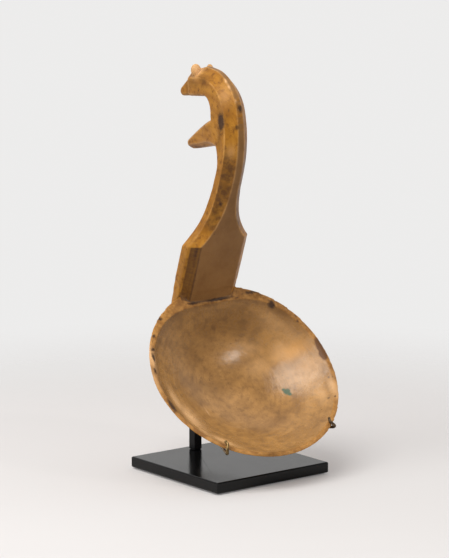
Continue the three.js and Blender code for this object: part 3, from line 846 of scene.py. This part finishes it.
# Stand
WELD_REACH = 0.002 * MM
SHARP_ANGLE = math.radians(35)
FELT_CELLS = 48
FELT_CORNER = 0.004
FELT_WAVE = 0.0006
FELT_WAVE_COUNT = 6.0
FELT_SEED = 2.0
FELT_GAP = 0.04 * MM
PAD_VOXEL = 0.35 * MM
PAD_ROUNDS = 10
PAD_NAP = 0.10
PAD_NAP_SIZE = 1.6
PAD_SEED = 3


def tint(tone, *shares):
    return tuple(tone * share for share in shares)


def satin_black(name, tone, polish, shine):
    g = new_material(name)
    place = g.place()
    dust = g.noise(place, (60.0, 60.0, 60.0), detail=6.0, roughness=0.65)
    grit = g.noise(place, (1400.0, 1400.0, 1400.0), detail=3.0, roughness=0.6)
    scuffs = g.noise(place, (700.0, 25.0, 700.0), detail=4.0, roughness=0.7)
    colour = g.layers(tint(tone, 1.0, 1.0, 1.06), (
        (dust, 0.45, 0.8, 0.5, tint(tone, 2.2, 2.1, 2.1)),
        (scuffs, 0.66, 0.8, 0.35, tint(tone, 4.0, 3.8, 3.8)),
    ))
    roughness = g.span(dust, 0.3, 0.75, polish, polish + 0.09)
    return g.finish(Base_Color=colour, Roughness=roughness, Normal=g.bump(grit, 0.00003), IOR=shine)


def metal(name, bright, dull, polish):
    g = new_material(name)
    place = g.place()
    tarnish = g.noise(place, (190.0, 190.0, 190.0), detail=5.0, roughness=0.65)
    drawn = g.noise(place, (2600.0, 160.0, 2600.0), detail=3.0, roughness=0.6)
    colour = g.mix(g.span(tarnish, 0.38, 0.68), bright, dull)
    roughness = g.span(tarnish, 0.35, 0.7, polish, polish + 0.2)
    return g.finish(Base_Color=colour, Metallic=1.0, Roughness=roughness, Normal=g.bump(drawn, 0.00004))


def felt_cloth(name, tone):
    g = new_material(name)
    place = g.place()
    fuzz = g.noise(place, (1500.0, 1500.0, 1500.0), detail=5.0, roughness=0.75, twist=1.2)
    wisps = g.noise(place, (260.0, 260.0, 260.0), detail=4.0, roughness=0.6)
    colour = g.layers(tint(tone, 0.6, 0.6, 0.58), (
        (fuzz, 0.35, 0.7, 1.0, tint(tone, 1.7, 1.65, 1.6)),
        (wisps, 0.55, 0.8, 0.4, tint(tone, 2.4, 2.3, 2.2)),
    ))
    normal = g.bump(fuzz, 0.0004)
    return g.finish(Base_Color=colour, Roughness=0.96, Normal=normal, Sheen_Weight=0.35, Sheen_Roughness=0.5)


def weld(node):
    """Joins the split facets of a CAD mesh."""
    nodes[node].modifiers.new("join", "WELD").merge_threshold = WELD_REACH


def round_off(node, levels):
    """Smooths a wire."""
    weld(node)
    fine = nodes[node].modifiers.new("round", "SUBSURF")
    fine.levels = levels
    fine.render_levels = levels


def soften_edges(node, width):
    """Bevels the sharp edges of a plate."""
    weld(node)
    bevel = nodes[node].modifiers.new("edges", "BEVEL")
    bevel.width = width
    bevel.segments = 3
    bevel.limit_method = "ANGLE"
    bevel.angle_limit = SHARP_ANGLE


def felt_sheet():
    """Felt cut square, with slightly uneven edges and rounded corners."""
    low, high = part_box("base_felt")
    mesh = bpy.data.meshes.new("felt_sheet")
    form = bmesh.new()
    row = FELT_CELLS + 1
    for i in range(row):
        for j in range(row):
            across, along = 2.0 * i / FELT_CELLS - 1.0, 2.0 * j / FELT_CELLS - 1.0
            drawn = 1.0 - FELT_CORNER * (across * along) ** 8
            spot = Vector((FELT_WAVE_COUNT * across, FELT_WAVE_COUNT * along, FELT_SEED))
            drawn -= abs(FELT_WAVE * noise.noise(spot))
            form.verts.new((high.x * across * drawn, high.y * along * drawn, high.z - FELT_GAP))
    form.verts.ensure_lookup_table()
    for i in range(FELT_CELLS):
        for j in range(FELT_CELLS):
            k = i * row + j
            form.faces.new([form.verts[n] for n in (k, k + row, k + row + 1, k + 1)])
    form.to_mesh(mesh)
    form.free()
    sheet = add_object("felt_sheet", mesh)
    thick = sheet.modifiers.new("thickness", "SOLIDIFY")
    thick.thickness = (high.z - low.z) - FELT_GAP
    thick.offset = -1.0
    mesh.shade_smooth()
    cover(mesh, felt_cloth("stand_felt", tone=0.02))
    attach(sheet, "stand")
    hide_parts("base_felt")


def felt_pad():
    """The round pad at the back of the bowl, with soft edges and an uneven nap."""
    skin = Skin(even_mesh(nodes["rest_pad"].data.copy(), PAD_VOXEL))
    skin.smooth(PAD_ROUNDS)
    skin.push(PAD_NAP * rolling(skin.points, PAD_NAP_SIZE, PAD_SEED))
    skin.write()
    pad = add_object("felt_pad", skin.mesh)
    cover(skin.mesh, felt_cloth("rest_felt", tone=0.03))
    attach(pad, "stand")
    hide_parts("rest_pad")


def dress_stand():
    for node, material in (
        ("base_plate", satin_black("black_base", tone=0.004, polish=0.11, shine=1.29)),
        ("post", satin_black("black_post", tone=0.007, polish=0.34, shine=1.22)),
        ("left_prong", metal("brass_wire", (0.26, 0.17, 0.07), (0.12, 0.075, 0.032), polish=0.32)),
        ("right_prong", metal("bronzed_wire", (0.2, 0.14, 0.085), (0.06, 0.04, 0.026), polish=0.34)),
        ("rest_arm", metal("brass_rod", (0.34, 0.24, 0.09), (0.16, 0.105, 0.04), polish=0.3)),
        ("post_screw", metal("screw_steel", (0.52, 0.52, 0.53), (0.3, 0.3, 0.31), polish=0.3)),
    ):
        cover(nodes[node].data, material)
    soften_edges("base_plate", 0.25 * MM)
    for wire in ("left_prong", "right_prong"):
        round_off(wire, 2)
    felt_sheet()
    felt_pad()


# Studio
LAMP_AIM = (0.0, 0.0, 0.12)
LAMP_DISTANCE = 1.4
DAYLIGHT = (1.0, 0.985, 0.96)
WARM_LIGHT = (1.0, 0.94, 0.87)
BEHIND = (0.61, 0.78, 0.16)
UPPER_RIGHT = (0.66, 0.1, 0.74)
ROOM_MIRRORED = [(0.25, 0.25, 0.25), (0.84, 0.83, 0.82)]
ROOM_LIGHT = [(0.12, 0.12, 0.12), (0.72, 0.715, 0.71)]
BACKDROP = (0.845, 0.84, 0.835)
FLOOR_REACH = 1.6
FLOOR_DROP = 0.2 * MM
FLOOR_TONES = [(0.7, 0.678, 0.672), (0.68, 0.662, 0.656)]
FLOOR_GLOW = (0.86, 0.83, 0.825)
FLOOR_GLOW_SHARE = 0.15
FLOOR_FADE = (0.18, 0.62)


def direction(azimuth, elevation):
    a, e = math.radians(azimuth), math.radians(elevation)
    return Vector((math.sin(a) * math.cos(e), -math.cos(a) * math.cos(e), math.sin(e)))


def lamp(name, azimuth, elevation, size, power, colour):
    light = bpy.data.lights.new(name, "AREA")
    light.shape = "DISK"
    light.size = size
    light.energy = power
    light.color = colour
    made = add_object(name, light)
    toward = direction(azimuth, elevation)
    made.location = Vector(LAMP_AIM) + toward * LAMP_DISTANCE
    made.rotation_euler = toward.to_track_quat("Z", "Y").to_euler()


def pale_world():
    """A pale room that is dimmer in front, where reflections and soft light come from."""
    scene.world = bpy.data.worlds.new("studio")
    g = Graph(scene.world)
    path = g.node("LightPath").outputs
    heading = g.node("TexCoord").outputs["Generated"]
    mirrored = g.mix(g.span(g.dot(heading, BEHIND), -0.1, 0.6), *ROOM_MIRRORED)
    shiny = g.maths("MAXIMUM", path["Is Glossy Ray"], path["Is Transmission Ray"])
    soft = g.mix(g.span(g.dot(heading, UPPER_RIGHT), -0.4, 0.9), *ROOM_LIGHT)
    colour = g.mix(shiny, soft, mirrored)
    colour = g.mix(path["Is Camera Ray"], colour, BACKDROP)
    g.put(g.tree.nodes["Background"].inputs["Color"], colour)


def pale_floor():
    """A floor that keeps the shadow and fades into the pale room."""
    mesh = bpy.data.meshes.new("floor")
    corners = [(x * FLOOR_REACH, y * FLOOR_REACH, 0.0) for x, y in ((-1, -1), (1, -1), (1, 1), (-1, 1))]
    mesh.from_pydata(corners, [], [(0, 1, 2, 3)])
    floor = add_object("floor", mesh)
    floor.location.z = -FLOOR_DROP
    g = new_material("pale_floor")
    place = g.place()
    haze = g.noise(place, (2.0, 2.0, 2.0), detail=2.0)
    colour = g.mix(g.span(haze, 0.3, 0.7), *FLOOR_TONES)
    cover(mesh, g.finish(Base_Color=colour, Roughness=0.9, Specular_IOR_Level=0.1))
    lit = g.tree.nodes["Principled BSDF"].outputs["BSDF"]
    glow = g.node("Emission", {"Color": FLOOR_GLOW, "Strength": 1.0}).outputs["Emission"]
    clear = g.node("BsdfTransparent").outputs["BSDF"]
    seen = g.scaled(g.node("LightPath").outputs["Is Camera Ray"], FLOOR_GLOW_SHARE)
    reached = g.node("VectorMath", {0: place}, operation="LENGTH").outputs["Value"]
    shown = g.node("MixShader", {0: seen, 1: lit, 2: glow}).outputs["Shader"]
    faded = g.node("MixShader", {0: g.span(reached, *FLOOR_FADE), 1: shown, 2: clear}).outputs["Shader"]
    g.put(g.tree.nodes["Material Output"].inputs["Surface"], faded)


def camera():
    eye = bpy.data.cameras.new("camera")
    eye.lens = VIEW_LENS
    eye.sensor_width = 36.0
    eye.clip_start = 0.05
    eye.clip_end = 20.0
    made = add_object("camera", eye)
    back = direction(VIEW_AZIMUTH, VIEW_ELEVATION)
    made.location = Vector(VIEW_TARGET) + back * VIEW_DISTANCE
    made.rotation_euler = back.to_track_quat("Z", "Y").to_euler()
    scene.camera = made


carve_ladle()
dress_stand()
lamp("key", azimuth=-66.0, elevation=59.0, size=1.0, power=14.1, colour=DAYLIGHT)
lamp("side", azimuth=-96.0, elevation=22.0, size=1.2, power=8.2, colour=DAYLIGHT)
lamp("fill", azimuth=16.0, elevation=27.6, size=0.14, power=1.9, colour=WARM_LIGHT)
pale_world()
pale_floor()
camera()
scene.view_settings.view_transform = "Standard"
